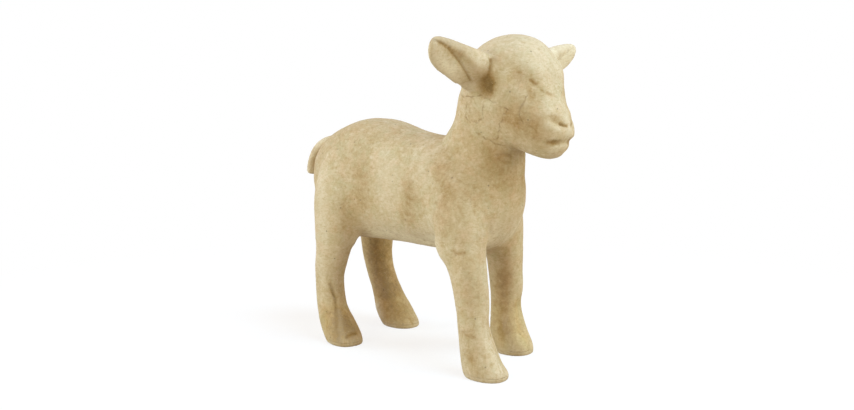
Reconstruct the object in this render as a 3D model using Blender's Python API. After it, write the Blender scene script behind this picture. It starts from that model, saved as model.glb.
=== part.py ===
# Standing kid goat in kraft papier-mache, modelled as it is made: two hollow
# half shells butted on the centre plane, gummed paper strips over the butt joint,
# four card soles closing the leg tubes, two ears and a tail glued on outside.
# Sizes are in millimetres. +X is forward, +Y is the goat's left and +Z is up.

import math

import bmesh
import bpy
import numpy as np
from mathutils import Vector

MM = 1 / 1000

# Paper thicknesses and the clearance between glued pieces
SHELL_WALL = 2.6
SOLE_THICKNESS = 2.4
STRIP_THICKNESS = 0.4
STRIP_WIDTH = 13.0
SEAT_GAP = 0.3

# Trunk
RUMP_X = -80.0
CHEST_X = 66.0
CROUP_HEIGHT = 134.0
WITHERS_HEIGHT = 124.5
BELLY_HEIGHT = 60.0
BODY_WIDTH = 57.0

# Neck and head. The neck starts behind the chest and ends behind the nose.
NECK_BASE_SETBACK = 26.0
NECK_TOP_SETBACK = 42.8
NECK_WIDTH = 39.0
NECK_DEPTH = 40.0
POLL_HEIGHT = 179.5
NOSE_X = 98.8
HEAD_LENGTH = 62.3
HEAD_HEIGHT = 64.7
HEAD_WIDTH = 48.6

# Legs. The shoulders lie behind the chest, and the hips ahead of the rump.
SHOULDER_SETBACK = 26.0
HIP_INSET = 31.0
STRIDE = 25.0
FRONT_TRACK = 48.0
HIND_TRACK = 52.0
CANNON_WIDTH = 16.8
THIGH_WIDTH = 25.0
THIGH_DEPTH = 31.5
HOOF_WIDTH = 20.4
HOOF_LENGTH = 25.4

# Ears. They start behind the nose and below the crown, and sweep forward to their tips.
EAR_SETBACK = 42.6
EAR_DROP = 18.9
EAR_SWEEP = 4.3
EAR_LEAN_DEGREES = 17.5
EAR_RISE = 12.0
EAR_SPAN = 131.0
EAR_BREADTH = 19.4
EAR_BLADE = 3.6
EAR_ROLL = 14.6

# Tail. Its root lies below the croup, and this deep in the rump.
TAIL_DROP = 14.5
TAIL_ROOT_DEPTH = 10.0
TAIL_LENGTH = 27.0
TAIL_WIDTH = 12.0
TAIL_THICKNESS = 7.0

# How far the seam strips stay back from the rump, over and under it, and from the nose
STRIP_CROUP_MARGIN = 14.0
STRIP_BELLY_MARGIN = 7.0
STRIP_FACE_MARGIN = 13.0

# Linear colours
KRAFT = (0.597, 0.491, 0.305)
GUMMED_PAPER = (0.491, 0.352, 0.181)
CARD = (0.305, 0.195, 0.084)

# Mesh grain
GRAIN = 1.4
CORE_GRAIN = 2.2
FILLET_PASS_COUNT = 14
FORM_TRIANGLE_COUNT = 6000
CORE_TRIANGLE_COUNT = 1900
EAR_TRIANGLE_COUNT = 640
TAIL_TRIANGLE_COUNT = 260
RING_POINTS = 32
RINGS_PER_SPAN = 4

# Share of the trunk's length, of its height under and over, and of its width
TRUNK_FORM = [
    (0.000, 0.432, 0.680, 0.26), (0.021, 0.270, 0.765, 0.50), (0.082, 0.095, 0.878, 0.74),
    (0.178, 0.013, 0.955, 0.92), (0.288, 0.000, 0.988, 1.00), (0.397, 0.000, 1.000, 0.98),
    (0.507, 0.000, 1.000, 0.98), (0.616, -0.010, 1.000, 1.00), (0.726, -0.005, 0.995, 1.00),
    (0.822, 0.015, 0.977, 0.97), (0.904, 0.078, 0.915, 0.84), (0.959, 0.217, 0.806, 0.60),
    (0.990, 0.372, 0.667, 0.32),
]

# Share of the height from belly to poll, of the way to the neck's top, of depth and of width
NECK_FORM = [
    (0.20, 0.00, 1.20, 1.20), (0.40, 0.08, 1.26, 1.08), (0.50, 0.20, 1.20, 1.00),
    (0.56, 0.37, 1.10, 0.98), (0.625, 0.58, 1.00, 0.97), (0.75, 0.76, 0.97, 0.95), (0.85, 1.00, 0.70, 0.80),
]

# Share of the head's length, of its height under and over, and of its width
HEAD_FORM = [
    (0.000, 0.507, 0.720, 0.25), (0.039, 0.400, 0.812, 0.51), (0.102, 0.293, 0.881, 0.72),
    (0.212, 0.200, 0.950, 0.885), (0.338, 0.140, 0.991, 0.98), (0.463, 0.095, 1.000, 1.00),
    (0.573, 0.056, 0.980, 0.96), (0.667, 0.026, 0.930, 0.88), (0.746, 0.008, 0.845, 0.80),
    (0.800, 0.000, 0.735, 0.68), (0.850, 0.003, 0.590, 0.58), (0.900, 0.020, 0.460, 0.52),
    (0.945, 0.075, 0.360, 0.46), (0.978, 0.150, 0.290, 0.36), (1.000, 0.185, 0.245, 0.22),
]

# Share of the half span, of the rise and of the girth for the ear's rolled upper rim,
# and of the rise and of the breadth for the blade under it
EAR_FORM = [
    (0.22, 0.08, 1.00, -0.18, 0.90), (0.34, 0.18, 1.04, -0.13, 0.93), (0.47, 0.37, 0.90, 0.02, 0.92),
    (0.58, 0.63, 0.67, 0.17, 1.00), (0.69, 0.87, 0.49, 0.37, 0.98), (0.80, 1.05, 0.37, 0.53, 0.92),
    (0.88, 1.15, 0.31, 0.66, 0.83), (0.94, 1.19, 0.24, 0.78, 0.71), (0.98, 1.08, 0.20, 0.86, 0.52),
    (1.00, 0.98, 0.14, 0.92, 0.26),
]

# Share of the tail's length behind and above its root, of the width and of the thickness
TAIL_FORM = [
    (0.00, 0.00, 1.00, 1.00), (0.33, -0.09, 1.00, 1.05), (0.60, -0.29, 1.00, 1.00),
    (0.77, -0.57, 0.96, 0.90), (0.85, -0.85, 0.90, 0.82),
]

# Share of the belly height, of the half track, of the way to the thigh and to the hoof.
# The last rings draw in, which rounds the hoof off where it meets the ground.
FORELEG_FORM = [
    (1.77, 0.58, 0.60, 0.0), (1.53, 0.71, 0.90, 0.0), (1.30, 0.81, 0.95, 0.0), (1.10, 0.87, 0.55, 0.0),
    (0.92, 0.94, 0.25, 0.0), (0.73, 0.98, 0.10, 0.0), (0.55, 1.00, 0.00, 0.05), (0.37, 1.00, 0.00, 0.20),
    (0.22, 1.00, 0.00, 0.60), (0.07, 1.00, 0.00, 1.05), (0.00, 1.00, 0.00, 0.85), (-0.08, 1.00, 0.00, 0.10),
]
HINDLEG_FORM = [
    (1.87, 0.55, 0.60, 0.0), (1.63, 0.69, 0.95, 0.0), (1.40, 0.79, 1.00, 0.0), (1.15, 0.87, 0.65, 0.0),
    (0.93, 0.94, 0.28, 0.0), (0.74, 0.98, 0.10, 0.0), (0.55, 1.00, 0.00, 0.05), (0.35, 1.00, 0.00, 0.25),
    (0.19, 1.00, 0.00, 0.85), (0.07, 1.00, 0.00, 1.05), (0.00, 1.00, 0.00, 0.85), (-0.08, 1.00, 0.00, 0.10),
]

# Strokes on the face: shares of head length, half width and height, then radius and depth
# as shares of the head's width. Eye socket, bridge, brow, nostril, mouth, hollow under the ear.
FACE_STROKES = [
    ([(0.70, 0.80, 0.60), (0.80, 0.62, 0.50)], 0.226, 0.053),
    ([(0.86, 0.0, 0.60), (0.84, 0.0, 0.50)], 0.185, 0.021),
    ([(0.74, 0.70, 0.73), (0.80, 0.50, 0.71)], 0.185, -0.029),
    ([(0.90, 0.42, 0.33), (0.97, 0.20, 0.26)], 0.070, 0.030),
    ([(0.88, 0.46, 0.145), (0.96, 0.30, 0.135), (1.0, 0.0, 0.15)], 0.068, 0.020),
    ([(0.42, 1.0, 0.575), (0.43, 0.98, 0.55)], 0.165, 0.066),
]

# Half the size of the boxes that only bound a cut
REACH = 400.0

# Side, spread as a share of the half track, leg form, and how far forward each ring lies
# as a share of the stride
LEGS = {
    "front_right": (-1, 1.14, FORELEG_FORM,
                    (-0.09, 0.04, 0.18, 0.32, 0.51, 0.64, 0.72, 0.82, 0.92, 1.05, 1.09, 1.13)),
    "front_left": (1, 0.94, FORELEG_FORM,
                   (-0.16, -0.09, -0.02, 0.08, 0.13, 0.14, 0.15, 0.18, 0.23, 0.32, 0.36, 0.40)),
    "hind_right": (-1, 1.06, HINDLEG_FORM,
                   (0.06, 0.05, 0.05, 0.04, 0.02, -0.05, -0.04, 0.03, 0.18, 0.33, 0.39, 0.46)),
    "hind_left": (1, 1.00, HINDLEG_FORM,
                  (0.04, -0.12, -0.28, -0.38, -0.45, -0.48, -0.37, -0.14, 0.06, 0.24, 0.34, 0.44)),
}


def clear_scene():
    for thing in list(bpy.data.objects):
        bpy.data.objects.remove(thing, do_unlink=True)


def make_material(name, colour, roughness):
    material = bpy.data.materials.new(name)
    material.use_nodes = True
    shader = material.node_tree.nodes["Principled BSDF"]
    shader.inputs["Base Color"].default_value = (*colour, 1.0)
    shader.inputs["Roughness"].default_value = roughness
    shader.inputs["Metallic"].default_value = 0.0
    return material


def new_object(name, mesh):
    thing = bpy.data.objects.new(name, mesh)
    bpy.context.scene.collection.objects.link(thing)
    return thing


def bake(thing):
    """Replaces the object's mesh by what its modifiers make of it."""
    bpy.context.view_layer.update()
    graph = bpy.context.evaluated_depsgraph_get()
    mesh = bpy.data.meshes.new_from_object(thing.evaluated_get(graph))
    thing.modifiers.clear()
    thing.data = mesh
    return thing


# Lofts

def mix(a, b, share):
    return a + (b - a) * share


def eased(rows):
    """Catmull-Rom rows between the given ones, so that a limb has no corners."""
    rows = np.array(rows, float)
    padded = np.vstack([2 * rows[0] - rows[1], rows, 2 * rows[-1] - rows[-2]])
    found = []
    for i in range(1, len(padded) - 2):
        a, b, c, d = padded[i - 1:i + 3]
        for step in range(RINGS_PER_SPAN):
            t = step / RINGS_PER_SPAN
            found.append(0.5 * (2 * b + (c - a) * t + (2 * a - 5 * b + 4 * c - d) * t ** 2
                                + (3 * b - a - 3 * c + d) * t ** 3))
    found.append(rows[-1])
    return np.array(found)


def add_loft(bm, rows, across, over=None, power=2.2):
    """Skin over rings. A row is a centre, a half size across and a half size over.
    Without a direction for over, the rings turn with the path."""
    across = Vector(across)
    rows = eased(rows)
    rings = []
    for row, along in zip(rows, np.gradient(rows[:, :3], axis=0)):
        upright = Vector(over) if over else Vector(along).normalized().cross(across)
        ring = []
        for i in range(RING_POINTS):
            angle = 2 * math.pi * i / RING_POINTS
            c, s = math.cos(angle), math.sin(angle)
            u = math.copysign(abs(c) ** (2 / power), c) * max(row[3], 0.5)
            v = math.copysign(abs(s) ** (2 / power), s) * max(row[4], 0.5)
            ring.append(bm.verts.new((Vector(row[:3]) + across * u + upright * v) * MM))
        rings.append(ring)
    for lower, upper in zip(rings, rings[1:]):
        for i in range(RING_POINTS):
            j = (i + 1) % RING_POINTS
            bm.faces.new((lower[i], lower[j], upper[j], upper[i]))
    for ring in (rings[0], rings[-1]):
        bm.faces.new(ring)


def back_height(along):
    """The back falls from the croup to the withers over its middle third."""
    t = min(max((along - 0.30) / 0.32, 0.0), 1.0)
    return mix(CROUP_HEIGHT, WITHERS_HEIGHT, t * t * (3 - 2 * t))


def trunk_rows():
    rows = []
    for along, under, over, wide in TRUNK_FORM:
        low = mix(BELLY_HEIGHT, back_height(along), under)
        high = mix(BELLY_HEIGHT, back_height(along), over)
        rows.append((mix(RUMP_X, CHEST_X, along), 0, (low + high) / 2,
                     wide * BODY_WIDTH / 2, (high - low) / 2))
    return rows


def neck_rows():
    base, top = CHEST_X - NECK_BASE_SETBACK, NOSE_X - NECK_TOP_SETBACK
    return [(mix(base, top, forward), 0, mix(BELLY_HEIGHT, POLL_HEIGHT, up),
             wide * NECK_WIDTH / 2, deep * NECK_DEPTH / 2)
            for up, forward, deep, wide in NECK_FORM]


def on_head(along, side, up):
    """A point given by shares of the head's length, half width and height."""
    return (NOSE_X - (1 - along) * HEAD_LENGTH, side * HEAD_WIDTH / 2,
            POLL_HEIGHT - (1 - up) * HEAD_HEIGHT)


def head_rows():
    return [(*on_head(along, 0, (under + over) / 2),
             wide * HEAD_WIDTH / 2, (over - under) * HEAD_HEIGHT / 2)
            for along, under, over, wide in HEAD_FORM]


def leg_rows(side, spread, form, forward):
    in_front = form is FORELEG_FORM
    track = FRONT_TRACK if in_front else HIND_TRACK
    top_x = CHEST_X - SHOULDER_SETBACK if in_front else RUMP_X + HIP_INSET
    rows = []
    for (up, apart, thigh, hoof), share in zip(form, forward):
        wide = CANNON_WIDTH + thigh * (THIGH_WIDTH - CANNON_WIDTH) + hoof * (HOOF_WIDTH - CANNON_WIDTH)
        deep = CANNON_WIDTH + thigh * (THIGH_DEPTH - CANNON_WIDTH) + hoof * (HOOF_LENGTH - CANNON_WIDTH)
        rows.append((top_x + share * STRIDE, side * spread * apart * track / 2, up * BELLY_HEIGHT,
                     wide / 2, deep / 2))
    return rows


def fuse(name, bm, grain, smoothing):
    """Runs overlapping limbs together, with soft fillets where they meet."""
    bmesh.ops.recalc_face_normals(bm, faces=bm.faces)
    mesh = bpy.data.meshes.new(name)
    bm.to_mesh(mesh)
    bm.free()
    return remesh(new_object(name, mesh), grain, smoothing)


def remesh(thing, grain, smoothing):
    voxels = thing.modifiers.new("fuse", "REMESH")
    voxels.mode = "VOXEL"
    voxels.voxel_size = grain * MM
    smooth = thing.modifiers.new("soften", "SMOOTH")
    smooth.factor = 0.5
    smooth.iterations = smoothing
    return bake(thing)


def thin_out(thing, faces):
    thing.data.calc_loop_triangles()
    decimate = thing.modifiers.new("thin_out", "DECIMATE")
    decimate.ratio = min(1.0, faces / len(thing.data.loop_triangles))
    decimate.use_collapse_triangulate = True
    return bake(thing)


# Clay work on the fused mesh

def points_of(mesh):
    """Vertex places in millimetres and unit normals."""
    points = np.empty(len(mesh.vertices) * 3)
    mesh.vertices.foreach_get("co", points)
    normals = np.empty(len(mesh.vertices) * 3)
    mesh.vertex_normals.foreach_get("vector", normals)
    return points.reshape(-1, 3) / MM, normals.reshape(-1, 3)


def set_points(mesh, points):
    mesh.vertices.foreach_set("co", (points * MM).ravel())
    mesh.update()


def press(mesh, stroke, radius, depth):
    """Pushes the surface in along a stroke on both sides of the face. A depth below 0 builds up."""
    points, normals = points_of(mesh)
    mirrored = points * (1, 0, 1) + np.abs(points) * (0, 1, 0)
    path = np.array(stroke, float)
    nearest = np.full(len(points), np.inf)
    for start, end in zip(path, path[1:]):
        along = end - start
        t = np.clip((mirrored - start) @ along / (along @ along), 0, 1)
        nearest = np.minimum(nearest, np.linalg.norm(mirrored - start - t[:, None] * along, axis=1))
    fade = (1 - np.clip(nearest / radius, 0, 1) ** 2) ** 2
    set_points(mesh, points - normals * (depth * fade)[:, None])


def swell(thing, distance):
    """Moves the whole surface out along its normals, or in where the distance is below 0."""
    points, normals = points_of(thing.data)
    set_points(thing.data, points + normals * distance)
    return thing


def copy_of(thing, name):
    return new_object(name, thing.data.copy())


def make_form():
    """The outside of the whole animal without ears and tail, running on below the ground."""
    bm = bmesh.new()
    add_loft(bm, trunk_rows(), (0, 1, 0), (0, 0, 1), 2.3)
    add_loft(bm, neck_rows(), (0, 1, 0), (1, 0, 0))
    add_loft(bm, head_rows(), (0, 1, 0), (0, 0, 1))
    for leg in LEGS.values():
        add_loft(bm, leg_rows(*leg), (0, 1, 0), (1, 0, 0), 2.3)
    form = fuse("form", bm, GRAIN, FILLET_PASS_COUNT)
    for stroke, radius, depth in FACE_STROKES:
        press(form.data, [on_head(*place) for place in stroke], radius * HEAD_WIDTH, depth * HEAD_WIDTH)
    return form


def make_core(form):
    """The hollow: the form drawn in by the wall, still open through every foot."""
    return thin_out(remesh(swell(copy_of(form, "core"), -SHELL_WALL), CORE_GRAIN, 4), CORE_TRIANGLE_COUNT)


def box(name, low, high):
    bm = bmesh.new()
    bmesh.ops.create_cube(bm, size=1.0)
    centre = (Vector(low) + Vector(high)) / 2
    size = Vector(high) - Vector(low)
    for vert in bm.verts:
        vert.co = Vector(centre[i] + vert.co[i] * size[i] for i in range(3)) * MM
    mesh = bpy.data.meshes.new(name)
    bm.to_mesh(mesh)
    bm.free()
    return new_object(name, mesh)


def cut(thing, other, operation):
    boolean = thing.modifiers.new(operation.lower(), "BOOLEAN")
    boolean.operation = operation
    boolean.solver = "EXACT"
    boolean.object = other
    return bake(thing)


def drop(*things):
    for thing in things:
        bpy.data.objects.remove(thing, do_unlink=True)


def make_half_shell(name, side, form, core):
    shell = cut(copy_of(form, name), core, "DIFFERENCE")
    inner, outer = sorted((side * SEAT_GAP / 2, side * REACH))
    half = box("half", (-REACH, inner, SOLE_THICKNESS + SEAT_GAP), (REACH, outer, REACH))
    cut(shell, half, "INTERSECT")
    drop(half)
    return shell


def make_sole(name, form, side, in_front):
    inner, outer = sorted((0.0, side * REACH))
    middle = (RUMP_X + CHEST_X) / 2
    rear, front = (middle, REACH) if in_front else (-REACH, middle)
    foot = box(name + "_slab", (rear, inner, 0.0), (front, outer, SOLE_THICKNESS))
    sole = cut(copy_of(form, name), foot, "INTERSECT")
    drop(foot)
    return sole


def keep_body(thing, upward):
    """Keeps the loose body that holds the highest point, or the lowest where upward is False."""
    bm = bmesh.new()
    bm.from_mesh(thing.data)
    bodies = []
    waiting = set(bm.verts)
    while waiting:
        reached = [waiting.pop()]
        body = set(reached)
        while reached:
            vert = reached.pop()
            near = {edge.other_vert(vert) for edge in vert.link_edges} - body
            body |= near
            reached.extend(near)
        waiting -= body
        bodies.append(body)
    wanted = max(bodies, key=lambda body: max(vert.co.z if upward else -vert.co.z for vert in body))
    bmesh.ops.delete(bm, geom=[vert for vert in bm.verts if vert not in wanted], context="VERTS")
    bm.to_mesh(thing.data)
    bm.free()


def make_strip(name, form, rear_margin, upward):
    """A paper strip along the seam, SEAT_GAP clear of the shells. Cut off at the rump and at the
    face, what lies round the animal is two bodies: one over the back and one under the belly."""
    strip = swell(copy_of(form, name), SEAT_GAP + STRIP_THICKNESS)
    bed = swell(copy_of(form, "bed"), SEAT_GAP)
    cut(strip, bed, "DIFFERENCE")
    span = box("span", (RUMP_X + rear_margin, -STRIP_WIDTH / 2, 0),
               (NOSE_X - STRIP_FACE_MARGIN, STRIP_WIDTH / 2, REACH))
    cut(strip, span, "INTERSECT")
    drop(bed, span)
    keep_body(strip, upward)
    return strip


def make_ear(name, side, bed):
    """A leaf whose upper rim is rolled forward into a tube that widens to the root."""
    rim, blade = [], []
    for out, rim_up, girth, blade_up, broad in EAR_FORM:
        x = NOSE_X - EAR_SETBACK + out * EAR_SWEEP
        y = side * out * EAR_SPAN / 2
        root = POLL_HEIGHT - EAR_DROP
        rim.append((x, y, root + rim_up * EAR_RISE, girth * EAR_ROLL / 2, girth * EAR_ROLL / 2))
        blade.append((x - girth * EAR_ROLL / 4, y, root + blade_up * EAR_RISE,
                      EAR_BLADE / 2, broad * EAR_BREADTH / 2))
    lean = math.radians(EAR_LEAN_DEGREES)
    bm = bmesh.new()
    add_loft(bm, rim, (1, 0, 0), (0, 0, 1))
    add_loft(bm, blade, (1, 0, 0), (math.sin(lean), 0, math.cos(lean)))
    ear = thin_out(fuse(name, bm, GRAIN / 2, FILLET_PASS_COUNT // 2), EAR_TRIANGLE_COUNT)
    return cut(ear, bed, "DIFFERENCE")


def make_tail(name, bed):
    bm = bmesh.new()
    root_x, root_z = RUMP_X + TAIL_ROOT_DEPTH, CROUP_HEIGHT - TAIL_DROP
    add_loft(bm, [(root_x - back * TAIL_LENGTH, 0, root_z + up * TAIL_LENGTH,
                   wide * TAIL_WIDTH / 2, thick * TAIL_THICKNESS / 2) for back, up, wide, thick in TAIL_FORM],
             (0, 1, 0))
    tail = thin_out(fuse(name, bm, GRAIN / 2, FILLET_PASS_COUNT // 3), TAIL_TRIANGLE_COUNT)
    return cut(tail, bed, "DIFFERENCE")


def stand_on_origin(pieces):
    """Hangs every piece on one empty, which puts the middle of their box over the origin."""
    corners = np.array([vert.co for piece in pieces for vert in piece.data.vertices])
    low, high = corners.min(axis=0), corners.max(axis=0)
    goat = new_object("goat", None)
    goat.location = (-(low[0] + high[0]) / 2, -(low[1] + high[1]) / 2, -low[2])
    for piece in pieces:
        piece.parent = goat


def finish(piece, colour, roughness):
    piece.data.materials.clear()
    piece.data.materials.append(make_material(piece.name, colour, roughness))
    for face in piece.data.polygons:
        face.use_smooth = True
    return piece


def main():
    clear_scene()
    form = make_form()
    core = make_core(form)
    thin_out(form, FORM_TRIANGLE_COUNT)
    bed = swell(copy_of(form, "seat"), SEAT_GAP)
    pieces = [
        finish(make_half_shell("left_half_shell", 1, form, core), KRAFT, 0.9),
        finish(make_half_shell("right_half_shell", -1, form, core), KRAFT, 0.9),
        finish(make_ear("left_ear", 1, bed), KRAFT, 0.9),
        finish(make_ear("right_ear", -1, bed), KRAFT, 0.9),
        finish(make_tail("tail", bed), KRAFT, 0.9),
        finish(make_strip("back_seam_strip", form, STRIP_CROUP_MARGIN, True), GUMMED_PAPER, 0.8),
        finish(make_strip("belly_seam_strip", form, STRIP_BELLY_MARGIN, False), GUMMED_PAPER, 0.8),
    ]
    for name, (side, _, leg_form, _) in LEGS.items():
        sole = make_sole(name + "_sole", form, side, leg_form is FORELEG_FORM)
        pieces.append(finish(sole, CARD, 0.95))
    drop(form, core, bed)
    stand_on_origin(pieces)


main()
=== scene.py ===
import math

import bmesh
import bpy
import numpy as np
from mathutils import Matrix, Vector


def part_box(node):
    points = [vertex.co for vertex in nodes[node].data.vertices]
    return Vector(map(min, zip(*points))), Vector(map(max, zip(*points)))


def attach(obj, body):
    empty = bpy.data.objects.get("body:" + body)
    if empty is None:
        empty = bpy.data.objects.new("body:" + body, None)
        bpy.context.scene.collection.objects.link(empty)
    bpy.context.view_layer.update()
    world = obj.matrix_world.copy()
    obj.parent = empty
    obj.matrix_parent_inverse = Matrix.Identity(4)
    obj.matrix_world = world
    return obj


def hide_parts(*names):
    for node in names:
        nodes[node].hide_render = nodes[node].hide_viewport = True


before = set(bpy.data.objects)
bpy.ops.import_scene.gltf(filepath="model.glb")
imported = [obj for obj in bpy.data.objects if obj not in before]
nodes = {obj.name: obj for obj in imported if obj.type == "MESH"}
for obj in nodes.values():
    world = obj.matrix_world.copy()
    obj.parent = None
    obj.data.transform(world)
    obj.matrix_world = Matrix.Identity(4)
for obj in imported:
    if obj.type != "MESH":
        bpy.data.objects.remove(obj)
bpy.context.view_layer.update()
mm = 0.001
mergeDistance = 0.001 * mm
print("frame:", len(nodes), "CAD nodes")


# Camera: angles in degrees, lengths in metres, the picture's size in pixels, the sensor in mm
camera = {
    "azimuth": 40.25, "pitch": 7.3, "distance": 0.5525, "focalPixels": 950.6,
    "target": (0.0013, 0.0, 0.0837), "picture": (854, 410), "sensor": 36.0, "clip": (0.01, 20.0),
}


def directionOf(azimuth, elevation):
    # Azimuth 0 is in front of the goat's right flank, 90 in front of its nose
    a, e = math.radians(azimuth), math.radians(elevation)
    return Vector((math.sin(a) * math.cos(e), -math.cos(a) * math.cos(e), math.sin(e)))


def makeCamera():
    data = bpy.data.cameras.new("photoCamera")
    data.sensor_width = camera["sensor"]
    data.lens = camera["focalPixels"] / camera["picture"][0] * camera["sensor"]
    data.clip_start, data.clip_end = camera["clip"]
    eye = bpy.data.objects.new("photoCamera", data)
    back = directionOf(camera["azimuth"], camera["pitch"])
    eye.location = Vector(camera["target"]) + back * camera["distance"]
    eye.rotation_euler = (-back).to_track_quat("-Z", "Y").to_euler()
    bpy.context.scene.collection.objects.link(eye)
    bpy.context.scene.camera = eye


makeCamera()


# Mesh work

def newObject(name, mesh):
    thing = bpy.data.objects.new(name, mesh)
    bpy.context.scene.collection.objects.link(thing)
    return thing


def bake(thing):
    graph = bpy.context.evaluated_depsgraph_get()
    mesh = bpy.data.meshes.new_from_object(thing.evaluated_get(graph))
    thing.modifiers.clear()
    thing.data = mesh


def mergedCopy(name, nodeNames):
    # A CAD node's mesh is loose triangles, so the copy is merged
    shape = bmesh.new()
    for nodeName in nodeNames:
        shape.from_mesh(nodes[nodeName].data)
    bmesh.ops.remove_doubles(shape, verts=shape.verts, dist=mergeDistance)
    mesh = bpy.data.meshes.new(name)
    shape.to_mesh(mesh)
    shape.free()
    return newObject(name, mesh)


def remesh(thing, grain):
    voxels = thing.modifiers.new("grain", "REMESH")
    voxels.mode = "VOXEL"
    voxels.voxel_size = grain
    bake(thing)


def pointsOf(mesh):
    points = np.empty(len(mesh.vertices) * 3)
    mesh.vertices.foreach_get("co", points)
    return points.reshape(-1, 3)


def normalsOf(mesh):
    normals = np.empty(len(mesh.vertices) * 3)
    mesh.vertex_normals.foreach_get("vector", normals)
    return normals.reshape(-1, 3)


def edgesOf(mesh):
    ends = np.empty(len(mesh.edges) * 2, int)
    mesh.edges.foreach_get("vertices", ends)
    return ends.reshape(-1, 2)


def setPoints(mesh, points):
    mesh.vertices.foreach_set("co", points.ravel())
    mesh.update()


def neighbourMean(values, ends, count):
    total = np.empty_like(values)
    for axis in range(values.shape[1]):
        total[:, axis] = np.bincount(ends[:, 0], values[ends[:, 1], axis], len(values))
        total[:, axis] += np.bincount(ends[:, 1], values[ends[:, 0], axis], len(values))
    return total / count


def soften(mesh, passes, strength):
    ends = edgesOf(mesh)
    points = pointsOf(mesh)
    count = np.maximum(np.bincount(ends.ravel(), minlength=len(points)), 1)[:, None]
    for _ in range(passes):
        points += (neighbourMean(points, ends, count) - points) * strength[:, None]
    setPoints(mesh, points)


def outerBody(mesh):
    # Keeps the body with the highest point and drops the hollow inside it
    ends = edgesOf(mesh)
    mark = np.arange(len(mesh.vertices))
    while True:
        low = np.minimum(mark[ends[:, 0]], mark[ends[:, 1]])
        before = mark.copy()
        np.minimum.at(mark, ends[:, 0], low)
        np.minimum.at(mark, ends[:, 1], low)
        mark = mark[mark]
        if (mark == before).all():
            break
    keep = mark == mark[pointsOf(mesh)[:, 2].argmax()]
    shape = bmesh.new()
    shape.from_mesh(mesh)
    shape.verts.ensure_lookup_table()
    bmesh.ops.delete(shape, geom=[shape.verts[i] for i in np.flatnonzero(~keep)], context="VERTS")
    shape.to_mesh(mesh)
    shape.free()


# Skin: the outer paper, one closed layer over shells, ears, tail and seam strips
skinSizes = {
    "grain": 0.62 * mm,  # one cell of the remesh
    "growth": 0.35 * mm,  # how far the paper stands proud of the shells
    "softPasses": 22,
    "bodyStrength": 0.5,
    "earStrength": 0.25,
    "earStart": 3 * mm,  # beyond the root, where an ear is softened less
    "soleTop": 2.5 * mm,
    "soleGap": 0.12 * mm,
    "footReach": 18 * mm,  # from the middle of a sole to beyond its toe
    "faces": 190000,
}

shellNodes = ["left_half_shell", "right_half_shell"]
trimNodes = ["left_ear", "right_ear", "tail"]
stripNodes = ["back_seam_strip", "belly_seam_strip"]
soleNodes = ["front_right_sole", "front_left_sole", "hind_right_sole", "hind_left_sole"]

earRoot = -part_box("right_ear")[1].y
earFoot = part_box("right_ear")[0].z


def makeBlank():
    blank = mergedCopy("paperSkin", shellNodes + trimNodes + soleNodes)
    remesh(blank, skinSizes["grain"])
    outerBody(blank.data)
    points = pointsOf(blank.data)
    onEar = (np.abs(points[:, 1]) > earRoot + skinSizes["earStart"]) & (points[:, 2] > earFoot)
    soften(blank.data, skinSizes["softPasses"],
           np.where(onEar, skinSizes["earStrength"], skinSizes["bodyStrength"]))
    setPoints(blank.data, pointsOf(blank.data) + normalsOf(blank.data) * skinSizes["growth"])
    return blank


skin = makeBlank()
print("blank:", len(skin.data.vertices), "vertices")

# Marks pressed into the paper (depth above 0) or built up on it (below 0).
# Each is a radius, a depth and a path, in mm. Paths lie on the goat's right side,
# except those of the far side of the face and of the left legs.
faceMarks = [
    (1.4, 0.8, [(63.2, -23.4, 164.9), (62.8, -23.7, 161.4), (60.0, -20.6, 156.8)]),  # ear's front edge
    (5.0, 1.4, [(59.5, -22.0, 155.0), (59.9, -21.5, 151.0)]),  # hollow under the ear
    (5.0, -1.6, [(51.5, -27.0, 152.8), (53.5, -24.5, 152.5)]),  # root of the ear
    (5.0, -0.9, [(42.0, -18.5, 150.0), (47.0, -23.0, 150.5)]),
    (5.0, 0.8, [(62.0, -20.0, 172.0), (66.0, -17.0, 174.0)]),  # crown beside the ear
    (7.0, -1.5, [(77.1, -19.5, 151.3), (80.5, -17.3, 149.8), (83.6, -13.7, 148.5)]),  # eye socket
    (6.0, 0.9, [(78.0, -18.5, 160.0), (82.5, -15.8, 158.0)]),  # brow
    (0.9, 0.5, [(82.7, -15.3, 155.3), (83.7, -14.0, 154.0), (84.4, -13.2, 153.3)]),  # strokes of the eye
    (0.8, 0.3, [(82.9, -14.7, 152.8), (84.0, -13.5, 151.8)]),
    (0.8, 0.3, [(77.7, -18.8, 159.0), (78.6, -18.3, 158.3)]),
    (6.0, -0.5, [(83.9, -16.9, 143.7), (87.0, -13.9, 140.3)]),  # cheek beside the bridge
    (3.0, -0.4, [(86.9, -9.3, 149.0), (88.4, -9.8, 144.2), (90.5, -10.0, 139.2)]),  # edge of the bridge
    (5.0, 1.3, [(95.5, -10.0, 130.5), (96.5, -7.0, 128.8)]),  # nose set back
    (1.0, 0.4, [(94.3, -4.6, 123.4), (95.3, 0.0, 124.0)]),  # mouth
    (0.8, 0.4, [(87.7, -9.1, 119.0), (88.8, -8.0, 118.5)]),
    (16.0, 1.8, [(-30.0, -15.0, 65.0), (-12.0, -14.0, 64.0), (14.0, -16.0, 65.0)]),  # belly
    (9.0, 0.9, [(9.0, -15.0, 65.0), (20.0, -14.5, 64.0)]),
    (12.0, 1.6, [(-70.0, -8.0, 121.5), (-58.0, -8.0, 126.0)]),  # rump
    (1.1, 0.6, [(61.2, -12.6, 116.2), (63.2, -9.9, 117.2), (64.9, -6.0, 116.0)]),  # throat wrinkles
    (1.1, 0.5, [(61.9, -11.7, 113.5), (64.4, -7.0, 112.8)]),
]
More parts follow.
